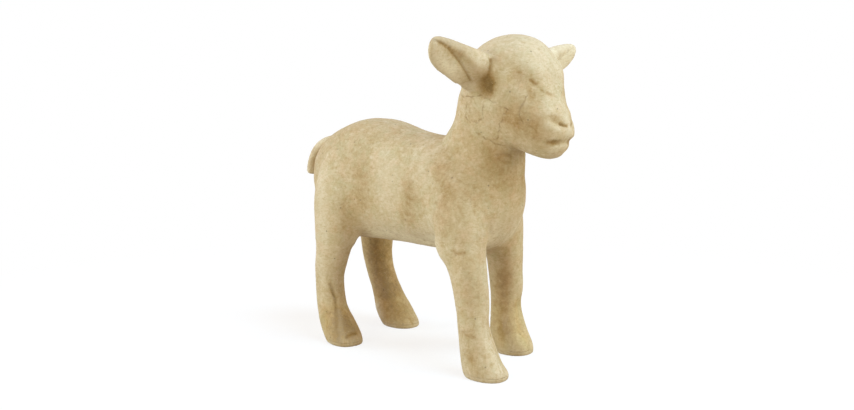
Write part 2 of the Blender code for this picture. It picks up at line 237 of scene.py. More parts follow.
noseMarks = [
    (2.6, 0.5, [(92.6, -7.5, 135.7), (93.4, -5.8, 134.9), (94.4, -4.1, 134.1)]),  # nostril
    (0.8, 0.8, [(93.5, -5.0, 133.1), (94.4, -3.2, 132.5), (95.6, -1.4, 132.0)]),
    (2.4, -0.7, [(92.2, -11.6, 132.9), (94.4, -10.4, 131.3), (96.3, -7.0, 130.4)]),  # its lobe
    (1.6, 0.4, [(91.7, -9.0, 124.2), (93.4, -6.9, 123.8)]),  # corner of the mouth
    (0.8, 0.7, [(90.6, -10.6, 124.1), (91.7, -9.0, 123.5), (92.8, -6.9, 123.4), (94.3, -4.6, 123.2)]),
    (0.8, 0.5, [(92.1, -8.6, 125.1), (93.4, -6.9, 124.5), (94.5, -5.0, 124.5)]),
    (0.8, 0.3, [(90.7, -10.1, 122.0), (92.5, -8.2, 121.8), (94.3, -4.5, 122.2)]),
    # Fold across the bridge
    (0.9, 0.35, [(85.5, -11.3, 150.2), (88.4, -7.4, 148.2), (89.8, -2.0, 146.7)]),
]
farFaceMarks = [
    (6.0, 2.0, [(90.0, 9.0, 146.5), (91.0, 10.0, 143.0)]),  # bridge set back
    (2.0, 0.8, [(95.2, 3.0, 124.0), (93.9, 6.6, 123.9), (91.8, 9.5, 123.6)]),  # mouth
    (5.0, 1.0, [(93.4, 6.0, 120.5), (92.4, 5.5, 117.5)]),  # lower lip set back
]
earMarks = [
    # Crease under the rolled rim, and the rim
    (1.1, 0.6, [(60.2, -64.0, 174.6), (60.2, -58.8, 172.9), (59.5, -51.8, 169.8), (57.1, -42.4, 165.1),
                (55.6, -34.7, 160.3), (53.8, -29.1, 157.3)]),
    (2.6, -0.3, [(61.4, -55.7, 173.5), (61.7, -48.2, 170.3), (62.3, -40.1, 166.6), (63.1, -33.7, 162.7)]),
]
legMarks = [
    (2.8, -0.4, [(-40.1, -32.2, 19.2), (-36.1, -34.6, 10.7), (-32.9, -35.5, 1.8)]),  # hind right ridge
    (1.2, 0.3, [(-44.9, -33.9, 32.1), (-43.3, -32.2, 29.1), (-42.2, -30.0, 27.6)]),
    (1.3, 0.2, [(-42.6, -32.1, 26.1), (-40.6, -33.3, 18.8), (-37.9, -35.3, 11.8)]),
    (1.2, 0.3, [(-32.1, -33.7, 5.8), (-31.3, -30.4, 7.0), (-30.9, -26.6, 6.9)]),  # crease over the toe
    (3.0, -0.5, [(47.2, 14.1, 20.9), (50.3, 13.8, 12.2), (52.9, 13.3, 4.6)]),  # front left ridge
    (1.4, 0.8, [(-32.4, 24.6, 5.3), (-30.7, 24.5, 1.1)]),  # toe notch of the hind left hoof
    (0.9, 0.4, [(48.6, -34.6, 66.8), (50.0, -34.4, 65.6), (52.0, -34.0, 65.2), (54.2, -32.9, 66.2)]),
    (7.0, 1.2, [(-43.4, -24.1, 36.8), (-42.8, -24.4, 29.6), (-41.6, -23.9, 23.6)]),  # hind right ankle
    (6.0, 1.1, [(-52.9, -35.9, 37.4), (-52.0, -36.1, 28.5), (-49.5, -37.0, 14.0)]),
    (6.0, 1.9, [(-52.5, -34.5, 16.0), (-50.0, -34.0, 10.0), (-47.5, -33.5, 3.0)]),
    (6.0, 2.4, [(66.5, -22.3, 27.0), (69.5, -22.3, 18.0), (72.5, -22.3, 10.0)]),  # front right ankle
    (6.0, 2.1, [(51.4, 24.9, 26.6), (52.6, 23.7, 21.1), (54.5, 22.7, 15.7)]),  # front left ankle
    (5.0, 0.8, [(57.0, 22.6, 10.0), (59.5, 22.2, 3.0)]),
    (5.0, -0.6, [(50.0, 26.3, 40.0), (50.3, 26.2, 36.0)]),
    (4.0, -1.3, [(-52.5, 16.0, 11.0), (-50.5, 16.0, 8.0)]),  # hind left heel
    (3.5, -1.0, [(-53.0, -34.0, 19.5), (-53.0, -33.8, 15.6)]),  # hind right heel
    (4.0, -1.8, [(-37.5, -19.5, 65.0), (-39.0, -19.8, 61.0)]),  # front of the hind right thigh
    (5.0, -2.0, [(36.5, -32.5, 68.0), (39.0, -33.5, 64.0)]),  # elbow of the front right leg
    (5.0, -0.8, [(56.0, -35.9, 25.5), (56.9, -36.1, 17.6)]),
]
# The same mark on the other side has this share of its depth
markShares = [(faceMarks, 1.0), (noseMarks, 0.2), (farFaceMarks, 0.15), (earMarks, 0.4), (legMarks, 0.0)]
pressSizes = {
    "slack": 3,  # mm that the paper may lie above or below a path
    "reach": 2.6,  # radii beyond which a mark has no weight
    "facingMargin": 1,  # mm round a mark's radius that decide which way is out
}

# Corners filled with paper pulp: centre and radius in mm, and the sides.
# Side 1 keeps the centre, and -1 mirrors it.
fillPlaces = [
    ((56, -22, 172), 11, (1, -1)),  # ear and crown
    ((49, -25, 152), 15, (1, -1)),  # ear and nape
    ((62, -22, 156), 10, (1, -1)),  # ear and cheek
    ((59, -58, 170), 10, (1, -1)),  # crease of the ear
    ((59, -48, 166), 13, (1, -1)),
    ((58, -37, 163), 12, (1, -1)),
    ((52, -18, 126), 20, (1, -1)),  # jaw and neck
    ((30, -30, 86), 20, (1, -1)),  # shoulder and flank
    ((-36, -30, 80), 20, (1, -1)),  # thigh and flank
    ((49, -13, 60), 18, (1, -1)),  # chest and front legs
    ((52, -26, 82), 14, (1, -1)),
    ((26, -18, 62), 14, (1, -1)),  # belly and front legs
    ((92.5, -8, 124.5), 6, (1, -1)),  # mouth
    ((-52, 26, 52), 12, (1,)),  # belly and hind left leg
    ((-37, -20, 65), 12, (1,)),  # belly and hind right leg
    ((36, -28, 66), 12, (1,)),  # belly and front right leg
]
fillSizes = {
    "passes": 420,
    "rim": 3,  # how fast the pull grows from the rim of a place inwards
    "pull": 0.5,
    "sinking": 0.04,  # share of the pull where the paper would sink
}


def fillHollows(mesh):
    # Hollows move outwards, ridges hardly sink, and the rims of a place stay
    points, ends = pointsOf(mesh), edgesOf(mesh)
    for centre, radius, sides in fillPlaces:
        for side in sides:
            middle = np.array(centre) * mm * (1, side, 1)
            away = np.linalg.norm(points - middle, axis=1) / (radius * mm)
            inside = np.flatnonzero(away < 1)
            number = np.full(len(points), -1)
            number[inside] = np.arange(len(inside))
            local = number[ends]
            local = local[(local >= 0).all(1)]
            count = np.maximum(np.bincount(local.ravel(), minlength=len(inside)), 1)[:, None]
            share = np.clip((1 - away[inside]) * fillSizes["rim"], 0, 1)[:, None] * fillSizes["pull"]
            normals = normalsOf(mesh)[inside]
            part = points[inside]
            for _ in range(fillSizes["passes"]):
                pull = neighbourMean(part, local, count) - part
                outward = (pull * normals).sum(1)[:, None] > 0
                part += pull * share * np.where(outward, 1.0, fillSizes["sinking"])
            points[inside] = part
            setPoints(mesh, points)


def pathOffsets(points, path):
    # From the nearest point of the path, with the direction of the path there
    best = np.full(len(points), np.inf)
    offsets, along = np.zeros_like(points), np.zeros_like(points)
    for start, end in zip(path, path[1:]):
        step = end - start
        share = np.clip((points - start) @ step / (step @ step), 0, 1)[:, None]
        offset = points - start - share * step
        away = np.linalg.norm(offset, axis=1)
        closer = away < best
        best[closer], offsets[closer], along[closer] = away[closer], offset[closer], step
    return offsets, along


def pathDistance(points, normals, path):
    # Along the surface, so a little height above or below the path doesn't count
    offsets, _ = pathOffsets(points, path)
    depth = (offsets * normals).sum(1)
    beside = np.linalg.norm(offsets - normals * depth[:, None], axis=1)
    return np.hypot(beside, np.maximum(np.abs(depth) - pressSizes["slack"] * mm, 0))


def weightOf(points, normals, path, radius, side=1, turned=0.0):
    # Sizes in mm; fades out on faces that turn away, further round with turned above 0
    path = np.array(path) * mm * (1, side, 1)
    reach = (radius * pressSizes["reach"] + pressSizes["slack"]) * mm
    inside = np.flatnonzero(((points > path.min(0) - reach) & (points < path.max(0) + reach)).all(1))
    part, turns = points[inside], normals[inside]
    weight = np.exp(-(pathDistance(part, turns, path) / (radius * mm)) ** 2)
    away = np.linalg.norm(pathOffsets(part, path)[0], axis=1)
    near = np.exp(-(away / ((radius + pressSizes["facingMargin"]) * mm)) ** 2)
    facing = (turns * (weight * near)[:, None] ** 2).sum(0)
    facing = turns @ (facing / np.linalg.norm(facing))
    whole = np.zeros(len(points))
    whole[inside] = weight * np.clip(facing * (1 + turned) + turned, 0, 1)
    return whole


def pressMarks(mesh, marks, twin):
    # twin is the share of the depth that a mark has on the other side
    points = pointsOf(mesh)
    for radius, depth, path in marks:
        normals = normalsOf(mesh)
        weight = weightOf(points, normals, path, radius)
        if twin:
            weight = np.maximum(weight, weightOf(points, normals, path, radius, -1) * twin)
        points -= normals * (weight * depth * mm)[:, None]
        setPoints(mesh, points)


fillHollows(skin.data)
for marks, twin in markShares:
    pressMarks(skin.data, marks, twin)
print("skin: marks pressed in")

# Lines where the edge of a torn patch shows: the sides, and a path in mm.
# Side 1 keeps the path, and -1 mirrors it.
patchLines = [
    ((1,), [(57.1, -23.2, 147.6), (66.5, -23.7, 144.1), (73.6, -22.3, 140.7), (69.5, -21.6, 135.0),
            (65.7, -18.9, 129.7), (61.6, -14.1, 124.7)]),
    ((1, -1), [(81.0, -17.1, 146.7), (79.9, -19.9, 141.3), (79.5, -20.1, 138.2), (80.4, -19.5, 135.7)]),
    ((1,), [(44.7, -18.9, 140.6), (44.0, -18.9, 136.4), (47.6, -19.2, 133.9), (52.2, -19.1, 133.5),
            (56.9, -21.0, 136.2), (58.4, -23.0, 140.9)]),
    ((1, -1), [(42.0, -18.1, 147.4), (50.6, -22.3, 147.0), (57.1, -23.2, 147.6)]),
    ((1, -1), [(53.0, -18.3, 127.2), (57.8, -16.0, 124.6), (62.4, -12.5, 122.5)]),
]


def writeAttribute(mesh, name, values):
    layer = mesh.attributes.new(name, "FLOAT", "POINT")
    layer.data.foreach_set("value", values.astype(np.float32))


# Painted shade (tint above 0) and painted highlight (below 0), with some places where the paper itself is
# darker or paler: radius in mm, tint, path in mm.
# Those of the first list are on both sides, those of the second only where their path lies.
bodyShadeAndTints = [
    (8, 0.8, [(-23.7, -27.8, 103.1), (-24.1, -28.2, 95.1), (-23.1, -27.7, 87.0)]),  # flank
    (10, -0.9, [(-8.9, -25.0, 111.8), (-3.4, -27.8, 101.0), (-5.5, -28.1, 90.7)]),
    (7, 1.0, [(12.9, -28.6, 96.6), (12.7, -28.4, 86.6), (7.4, -24.9, 73.4)]),  # behind the shoulder: painted shade
    (7, -0.8, [(19.1, -22.3, 114.7), (22.2, -27.6, 102.6)]),
    (8, 0.9, [(33.8, -26.3, 106.5), (39.5, -30.8, 94.9), (39.6, -34.2, 79.3)]),  # shoulder
    (6, -0.8, [(-57.3, -27.2, 105.3), (-52.2, -34.0, 85.3), (-49.4, -35.4, 64.8)]),  # thigh
    (7, 0.5, [(-36.1, -29.5, 79.1), (-37.9, -30.3, 69.5)]),
    (9, 0.85, [(63.7, -9.6, 111.9), (64.2, -5.5, 103.7)]),  # throat: painted shadow of the head, and darker paper
    (8, -0.5, [(63.4, -1.5, 88.7), (58.4, 6.9, 74.7)]),  # chest
    (9, 0.3, [(52.1, -26.3, 92.9), (55.7, -30.7, 75.2)]),
    (4, -1.0, [(58.6, -12.8, 78.7), (52.9, -5.8, 67.4)]),  # between the front legs: painted highlight
    (6, -0.4, [(63.6, -23.1, 141.0), (60.7, -20.0, 132.7)]),  # jaw
    (10, 0.9, [(67.5, -22.3, 140.0), (76.0, -20.0, 136.0)]),  # cheek
    (16, -0.8, [(58.0, 0.0, 178.0), (80.0, 0.0, 163.0)]),  # crown and forehead: painted highlight
    (14, 0.25, [(50.0, -20.0, 125.0), (58.0, -18.0, 100.0)]),  # neck
    (13, -2.4, [(-26.0, -12.8, 64.0), (5.4, -13.9, 63.5), (24.0, -14.0, 64.0)]),  # belly: painted highlight
    (16, 0.55, [(-62.0, -14.0, 116.0), (-32.0, -14.0, 124.0), (0.0, -12.0, 119.0)]),  # back
    (3, 1.8, [(64.1, -23.1, 154.0), (63.7, -22.9, 151.5)]),  # hollow under the ear: painted shadow
    (8, 0.45, [(77.1, -20.0, 134.1), (83.2, -15.4, 126.0)]),  # jaw beside the mouth: painted shade
    (6, 0.6, [(79.7, -17.2, 155.8), (82.9, -14.7, 153.8), (85.0, -12.0, 151.8)]),  # eye: painted shade in the socket
    (3.8, 2.8, [(60.5, -23.2, 154.3), (60.7, -22.3, 151.5)]),  # hollow under the ear: painted shadow
    (1.4, 1.8, [(63.2, -23.4, 164.9), (62.8, -23.7, 161.4), (60.5, -22.6, 156.8)]),  # ear's front edge: painted shadow line
    (4, -1.2, [(52.2, -28.7, 153.3), (54.5, -25.8, 152.8)]),  # root of the ear: painted highlight
    (7, 0.4, [(48.1, -21.7, 149.1), (47.6, -20.9, 138.6)]),  # nape
    (5, 0.9, [(61.4, -55.7, 173.5), (61.7, -48.2, 170.3)]),  # rim of the ear
    (8, 1.0, [(60.0, -60.0, 178.0), (60.5, -50.0, 175.5), (60.0, -42.0, 173.0)]),  # upper side of the ear
    (5, -0.7, [(62.3, -39.0, 166.4), (63.1, -33.7, 162.7)]),
    (5, -1.8, [(58.6, -59.0, 167.0), (57.1, -49.9, 162.5), (55.3, -40.7, 158.8)]),  # inside of the ear: painted highlight
    (1.1, 1.3, [(90.8, -10.4, 124.2), (92.8, -6.9, 123.6)]),  # mouth: painted shade
    (0.9, 0.8, [(92.1, -8.6, 125.1), (94.0, -6.0, 124.5)]),
    (0.8, 2.2, [(93.5, -5.0, 133.1), (94.4, -3.2, 132.5), (95.6, -1.4, 132.0)]),  # nostril: painted shade
    (2.4, 1.1, [(92.6, -7.5, 135.7), (93.8, -5.0, 134.5)]),
    (0.7, 1.0, [(82.7, -15.3, 155.3), (83.7, -14.0, 154.0), (84.4, -13.2, 153.3)]),  # strokes of the eye: painted shade
]
sideShadeAndTints = [
    (2.4, 0.8, [(82.3, -16.4, 150.8), (84.2, -15.6, 146.8)]),  # under the right eye: painted shade
    (0.8, 1.1, [(86.6, -11.1, 150.3), (87.9, -9.4, 149.0), (89.1, -5.6, 148.2)]),  # fold across the bridge: painted shade
    (1.2, 0.8, [(60.2, -64.0, 174.6), (60.2, -58.8, 172.9), (59.5, -51.8, 169.8), (57.1, -42.4, 165.1)]),
    (1.2, 1.6, [(57.1, -42.4, 165.1), (55.6, -34.7, 160.3), (53.8, -29.1, 157.3)]),  # crease of the ear: painted shade
    (1.2, 2.0, [(60.4, -62.4, 174.2), (60.2, -59.8, 173.3)]),
    (8, 0.6, [(60.0, -60.0, 178.0), (60.5, -50.0, 175.5), (60.0, -42.0, 173.0)]),
    (14, -3.4, [(62.0, 40.0, 166.0), (62.0, 58.0, 172.0)]),  # left ear: painted highlight
    (7, 0.5, [(85.0, -17.0, 134.0), (88.5, -14.5, 128.0)]),  # side of the muzzle
    (2.5, 1.4, [(-88.0, -5.7, 112.9), (-88.2, -5.2, 107.8), (-90.0, -3.7, 102.5)]),  # edge of the tail: painted shadow
    (10, 0.6, [(-44.0, -33.0, 30.0), (-38.0, -33.0, 4.0)]),  # hind right leg
    (0.9, 2.4, [(-45.4, -33.9, 36.0), (-42.6, -32.1, 26.1), (-40.6, -33.3, 18.8), (-37.9, -35.3, 11.8),
                (-35.0, -36.0, 3.0)]),
    (0.8, 2.6, [(-32.1, -33.7, 5.8), (-31.3, -30.4, 7.0), (-30.9, -26.6, 6.9)]),  # crease over its toe: painted shade
    (0.8, 1.2, [(48.6, -34.6, 66.8), (50.0, -34.4, 65.6), (52.0, -34.0, 65.2), (54.2, -32.9, 66.2)]),
    (0.8, 1.5, [(57.0, -36.4, 25.0), (59.0, -36.4, 23.4), (63.0, -34.5, 22.9)]),
    (6, 0.9, [(58.2, -32.2, 58.2), (61.4, -32.7, 46.0)]),  # front right leg
    (6, 0.9, [(63.6, -37.0, 12.1), (66.7, -37.5, 4.3)]),
    (9, 0.4, [(62.0, -30.0, 40.0), (66.0, -31.0, 12.0)]),
    (5, -0.8, [(70.0, -28.3, 18.3), (74.7, -30.2, 9.0)]),
    (8, 0.35, [(-42.9, -27.4, 40.4), (-39.8, -30.9, 20.3)]),  # hind right leg
    (8, 2.7, [(-37.0, -31.9, 12.0), (-31.7, -29.8, 6.4)]),
    (3, -0.8, [(-49.7, -35.6, 50.0), (-51.5, -36.2, 25.8)]),
    (6, 1.4, [(45.9, 13.4, 44.0), (45.4, 14.5, 31.1), (48.7, 13.2, 14.3)]),  # front left leg: painted shade on its inner side
    (9, 0.5, [(49.0, 16.0, 50.0), (53.0, 17.0, 8.0)]),
    (5, -0.5, [(51.2, 20.9, 42.4), (51.9, 19.3, 22.4), (57.2, 19.9, 8.6)]),
    (12, 3.0, [(-56.7, 17.5, 47.9), (-51.0, 19.3, 30.0)]),  # hind left leg: painted shadow of the body
    (9, 1.6, [(-46.0, 19.8, 18.0), (-38.5, 19.1, 9.9)]),
]
# Painted warm shade on the legs that stand in shadow: radius in mm, strength from 0 to 1, path in mm
warmShadePlaces = [
    (13, 0.35, [(50.0, 16.0, 55.0), (48.0, 16.0, 36.0)]),  # front left leg
    (13, 0.9, [(49.0, 17.0, 22.0), (54.0, 18.0, 5.0)]),
    (13, 0.9, [(-56.7, 17.5, 50.0), (-51.0, 19.3, 30.0), (-42.0, 19.5, 8.0)]),  # hind left leg
    (11, 0.9, [(-42.0, -33.0, 14.0), (-34.0, -31.0, 5.0)]),  # hind right hoof
]
tintTurn = 1.0  # how far round an edge a tint runs

markingSizes = {
    "levelPasses": 60,  # smoothing that gives the level which hollows are measured from
    "levelStrength": 0.6,
    "hollowGain": 1.3,
    "farOff": 9.0,  # mm, where no patch edge is near
    "edgeReach": 2.5,  # mm beside a patch edge
}


def markSkin(mesh):
    # Values for the finish: how hollow the paper is, for painted shade in hollows and a painted highlight
    # on ridges, the lines of patch edges, the painted shade and highlight with the tint, and the painted
    # warm shade
    points, normals, ends = pointsOf(mesh), normalsOf(mesh), edgesOf(mesh)
    count = np.maximum(np.bincount(ends.ravel(), minlength=len(points)), 1)[:, None]
    level = points.copy()
    for _ in range(markingSizes["levelPasses"]):
        level += (neighbourMean(level, ends, count) - level) * markingSizes["levelStrength"]
    # Hollows below the smoothed level get painted shade in the finish, ridges a painted highlight
    hollow = ((level - points) * normals).sum(1) / mm
    writeAttribute(mesh, "hollow", np.clip(hollow * markingSizes["hollowGain"], -1, 1))
    # The distance beside a line changes sign on it, which keeps the line thin between vertices
    nearest = np.full(len(points), markingSizes["farOff"])
    signed = nearest.copy()
    for sides, path in patchLines:
        for side in sides:
            offsets, along = pathOffsets(points, np.array(path) * mm * (1, side, 1))
            away = np.linalg.norm(offsets, axis=1) / mm
            across = np.cross(along, normals)
            across /= np.maximum(np.linalg.norm(across, axis=1), 1e-9)[:, None]
            beside = (offsets * across).sum(1) / mm
            closer = away < nearest
            nearest[closer], signed[closer] = away[closer], beside[closer]
    writeAttribute(mesh, "patchSide", signed)
    writeAttribute(mesh, "patchNear", np.exp(-(nearest / markingSizes["edgeReach"]) ** 2))
    # Painted shade and highlight, with some darker and paler places of the paper itself
    shadeAndTint = np.zeros(len(points))
    for radius, strength, path in bodyShadeAndTints:
        both = [weightOf(points, normals, path, radius, side, tintTurn) for side in (1, -1)]
        shadeAndTint += strength * np.maximum(*both)
    for radius, strength, path in sideShadeAndTints:
        shadeAndTint += strength * weightOf(points, normals, path, radius, 1, tintTurn)
    writeAttribute(mesh, "shadeAndTint", shadeAndTint)
    # Painted warm shade on the legs that stand in shadow
    warmShade = np.zeros(len(points))
    for radius, strength, path in warmShadePlaces:
        warmShade = np.maximum(warmShade, strength * weightOf(points, normals, path, radius, 1, tintTurn))
    writeAttribute(mesh, "warmShade", warmShade)


markSkin(skin.data)

# Torn paper: its patches, for the relief and the finish, and the heights and sizes of the relief
paper = {
    "patch": 17 * mm,
    "wander": 4.5 * mm,  # how far an edge strays, and over what length
    "wanderSize": 15 * mm,
    "secondPatch": 13.6 * mm,  # the layer of patches that crosses the first
    "secondStart": (0.31, 0.17, 0.23),
    "lap": 0.14 * mm,  # step from one patch to the next
    "unevenness": 0.36 * mm,
    "unevenSize": 11 * mm,
    "lumps": 0.16 * mm,
    "lumpSize": 3.4 * mm,
}
reliefInputs = ("Lap", "Unevenness", "Lumps")


def link(tree, source, target):
    tree.links.new(source, target)


def mathNode(tree, operation, first, second=None):
    node = tree.nodes.new("ShaderNodeMath")
    node.operation = operation
    for socket, value in zip(node.inputs, (first, second)):
        if isinstance(value, (int, float)):
            socket.default_value = value
        elif value is not None:
            link(tree, value, socket)
    return node.outputs[0]


def noiseNode(tree, place, size, detail=3.0, roughness=0.5, output="Fac"):
    node = tree.nodes.new("ShaderNodeTexNoise")
    node.inputs["Scale"].default_value = 1 / size
    node.inputs["Detail"].default_value = detail
    node.inputs["Roughness"].default_value = roughness
    link(tree, place, node.inputs["Vector"])
    return node.outputs[output]


def centredNoise(tree, place, size, detail, roughness=0.5):
    # As much below 0 as above
    return mathNode(tree, "SUBTRACT", noiseNode(tree, place, size, detail, roughness), 0.5)


def shifted(tree, place, offset):
    node = tree.nodes.new("ShaderNodeVectorMath")
    node.operation = "ADD"
    node.inputs[1].default_value = offset
    link(tree, place, node.inputs[0])
    return node.outputs[0]


def wandered(tree, place, amount, size):
    # Pushes the pattern about, so that torn edges aren't straight
    colour = noiseNode(tree, place, size, detail=2.0, roughness=0.45, output="Color")
    centred = shifted(tree, colour, (-0.5, -0.5, -0.5))
    scaled = tree.nodes.new("ShaderNodeVectorMath")
    scaled.operation = "SCALE"
    scaled.inputs["Scale"].default_value = amount
    link(tree, centred, scaled.inputs[0])
    total = tree.nodes.new("ShaderNodeVectorMath")
    total.operation = "ADD"
    link(tree, place, total.inputs[0])
    link(tree, scaled.outputs[0], total.inputs[1])
    return total.outputs[0]


def cellNode(tree, place, size, feature, output):
    node = tree.nodes.new("ShaderNodeTexVoronoi")
    node.feature = feature
    node.inputs["Scale"].default_value = 1 / size
    link(tree, place, node.inputs["Vector"])
    return node.outputs[output]


def makeReliefTree(material):
    tree = bpy.data.node_groups.new("tornPaper", "GeometryNodeTree")
    face = tree.interface
    face.new_socket("Geometry", in_out="INPUT", socket_type="NodeSocketGeometry")
    for name in reliefInputs:
        size = face.new_socket(name, in_out="INPUT", socket_type="NodeSocketFloat")
        size.default_value = paper[name.lower()]
    face.new_socket("Geometry", in_out="OUTPUT", socket_type="NodeSocketGeometry")
    given = tree.nodes.new("NodeGroupInput")
    place = tree.nodes.new("GeometryNodeInputPosition").outputs[0]
    # Each patch lies at its own level, and a second layer of patches crosses the first
    torn = wandered(tree, place, paper["wander"], paper["wanderSize"])
    crossed = shifted(tree, torn, paper["secondStart"])
    lap = given.outputs["Lap"]
    firstLap = mathNode(tree, "MULTIPLY", cellNode(tree, torn, paper["patch"], "F1", "Color"), lap)
    secondCell = cellNode(tree, crossed, paper["secondPatch"], "F1", "Color")
    secondLap = mathNode(tree, "MULTIPLY", secondCell, lap)
    wave = centredNoise(tree, place, paper["unevenSize"], detail=2.0)
    wave = mathNode(tree, "MULTIPLY", wave, given.outputs["Unevenness"])
    lump = centredNoise(tree, place, paper["lumpSize"], detail=2.0, roughness=0.6)
    wave = mathNode(tree, "ADD", wave, mathNode(tree, "MULTIPLY", lump, given.outputs["Lumps"]))
    height = mathNode(tree, "ADD", mathNode(tree, "ADD", firstLap, secondLap), wave)
    height = mathNode(tree, "SUBTRACT", height, lap)
    along = tree.nodes.new("ShaderNodeVectorMath")
    along.operation = "SCALE"
    link(tree, tree.nodes.new("GeometryNodeInputNormal").outputs[0], along.inputs[0])
    link(tree, height, along.inputs["Scale"])
    moved = tree.nodes.new("GeometryNodeSetPosition")
    link(tree, given.outputs["Geometry"], moved.inputs["Geometry"])
    link(tree, along.outputs[0], moved.inputs["Offset"])
    real = tree.nodes.new("GeometryNodeRealizeInstances")
    link(tree, moved.outputs[0], real.inputs[0])
    finish = tree.nodes.new("GeometryNodeSetMaterial")
    finish.inputs["Material"].default_value = material
    link(tree, real.outputs[0], finish.inputs["Geometry"])
    result = tree.nodes.new("NodeGroupOutput")
    link(tree, finish.outputs[0], result.inputs["Geometry"])
    return tree


# Finish: colours are linear
kraftTones = {
    "plain": (0.570, 0.446, 0.266, 1.0),
    "pale": (0.690, 0.572, 0.400, 1.0),
    # also the painted highlight on ridges and where the tint is below 0
    "ochre": (0.500, 0.362, 0.180, 1.0),
    "tan": (0.400, 0.262, 0.102, 1.0),
    "pink": (0.625, 0.442, 0.272, 1.0),
    "green": (0.515, 0.452, 0.270, 1.0),
    # dark patch edges, and the painted shade in the hollows
    "brown": (0.290, 0.180, 0.070, 1.0),
    "speck": (0.120, 0.080, 0.045, 1.0),
    # painted shade, and darker paper, where the tint is above 0
    "shadeAndDarkerPaper": (0.700, 0.590, 0.420, 1.0),
    # deeper painted shade where the tint is above 1.5
    "deepShade": (0.640, 0.600, 0.520, 1.0),
    # painted highlight where the tint is below -1
    "paintedHighlight": (0.820, 0.720, 0.520, 1.0),
    # painted warm shade on the legs in shadow
    "warmShade": (0.985, 0.925, 0.670, 1.0),
}
kraftSurface = {
    "roughness": 0.86,
    "specular": 0.25,
    "bumpStrength": 0.6,
    "bumpHeight": 0.25 * mm,
    "toothSize": 0.9 * mm,
    "tooth": 0.5,  # shares of the bump's height
    "fibre": 0.6,
    "edge": 0.5,
}

# Tints of whole patches: the layer, a channel of its random colour, the level where the tint begins,
# its strength and its tone
patchTints = [
    ("first", "Red", 0.3, 0.35, "pink"),
    ("first", "Green", 0.4, 0.40, "green"),
    ("second", "Blue", 0.5, 0.40, "pale"),
]

# Blotches: the pattern's start, its size in mm, the noise levels it fades in between, strength, tone
blotches = [
    ((0.7, 0.2, 0.4), 24, 0.42, 0.66, 0.75, "ochre"),
    ((0.3, 0.8, 0.6), 18, 0.46, 0.70, 0.55, "pale"),
    ((0.1, 0.9, 0.3), 9, 0.46, 0.62, 0.65, "pink"),
    ((0.6, 0.1, 0.9), 8, 0.48, 0.66, 0.60, "green"),
    ((0.4, 0.5, 0.8), 5, 0.46, 0.68, 0.65, "pale"),
    ((0.2, 0.6, 0.1), 3.5, 0.50, 0.70, 0.60, "ochre"),
    ((0.8, 0.3, 0.7), 2.2, 0.48, 0.70, 0.48, "tan"),
    ((0.9, 0.5, 0.2), 1.6, 0.50, 0.72, 0.45, "pale"),
    ((0.5, 0.7, 0.9), 1.1, 0.50, 0.74, 0.40, "tan"),
]

# Noises that break up the tints: size in mm, detail, levels, least and most strength
tintNoises = [
    (7, 4.0, 0.30, 0.62, 0.50, 1.25),
    (1.8, 3.0, 0.36, 0.64, 0.75, 1.25),
]

# Painted shade, painted highlight and tints first, then painted warm shade on the legs, painted shade in
# the hollows and a painted highlight on ridges:
# the value, where it begins and is full, strength, tone and blend
paintedShadeAndTints = [
    ("shadeAndTint", 0.0, 1.5, 1.0, "shadeAndDarkerPaper", "MULTIPLY"),
    ("shadeAndTint", 1.5, 3.0, 1.0, "deepShade", "MULTIPLY"),
    ("shadeAndTint", 0.0, -1.2, 0.65, "pale", "MIX"),
    ("shadeAndTint", -1.0, -2.4, 0.8, "paintedHighlight", "MIX"),
    # painted warm shade on the legs in shadow
    ("warmShade", 0.0, 1.0, 1.0, "warmShade", "MULTIPLY"),
    # painted shade in the hollows
    ("hollow", 0.05, 1.0, 0.65, "brown", "MIX"),
    # painted highlight on ridges
    ("hollow", -0.1, -0.8, 0.5, "pale", "MIX"),
]

# Edges of patches, drawn thin and dark. A pair is the levels between which something fades.
tornEdges = {
    "width": 0.045,  # as shares of a patch
    "secondWidth": 0.05,
    "areaSize": 22 * mm,  # edges show in some areas of this size
    "area": (0.52, 0.60),
    "secondArea": (0.54, 0.62),
    "secondStart": (0.5, 0.5, 0.5),
    "strength": 0.55,
    "waverSize": 4 * mm,
    "waver": 4.0,
    "line": (0.1, 0.75),  # mm beside a line of patchLines
    "lineNear": (0.3, 0.6),  # where its ends fade
    "lineStrength": 1.7,
    "gapSize": 2.5 * mm,
    "gap": (0.35, 0.6),
    "leastInGap": 0.1,
    "darkness": 0.42,
}

# Long fibres that run down the legs: they begin at the first height and are full at the second
legGrain = {
    "wander": 3 * mm,
    "wanderSize": 7 * mm,
    "stretch": (1.0, 1.0, 0.22),
    "size": 1.8 * mm,
    "levels": (0.54, 0.68),
    "heights": (55 * mm, 30 * mm),
    "strength": 0.45,
}

# Dark specks, each in a cell of its own: the radius is in spacings, and a cell has one
# where its random level is high enough
specks = {
    "spacing": 4.2 * mm,
    "radius": (0.07, 0.15),
    "chosen": (0.78, 0.80),
    "strength": 0.55,
}

# Short pale fibres and dark streaks
fibres = {
    "wander": 2 * mm,
    "wanderSize": 5 * mm,
    "stretch": (1.0, 1.0, 3.5),
    "size": 1.6 * mm,
    "levels": (0.55, 0.75),
    "strength": 0.6,
    "streakStart": (0.4, 0.4, 0.4),
    "streakSize": 2.6 * mm,
    "streakLevels": (0.52, 0.70),
    "streakStrength": 0.54,
}


def mixColour(tree, share, first, second, blend="MIX"):
    # Inputs 0, 6 and 7 of the node are the share and the two colours
    node = tree.nodes.new("ShaderNodeMix")
    node.data_type = "RGBA"
    node.blend_type = blend
    for socket, value in ((node.inputs[0], share), (node.inputs[6], first), (node.inputs[7], second)):
        if isinstance(value, (tuple, float)):
            socket.default_value = value
        else:
            link(tree, value, socket)
    return node.outputs[2]


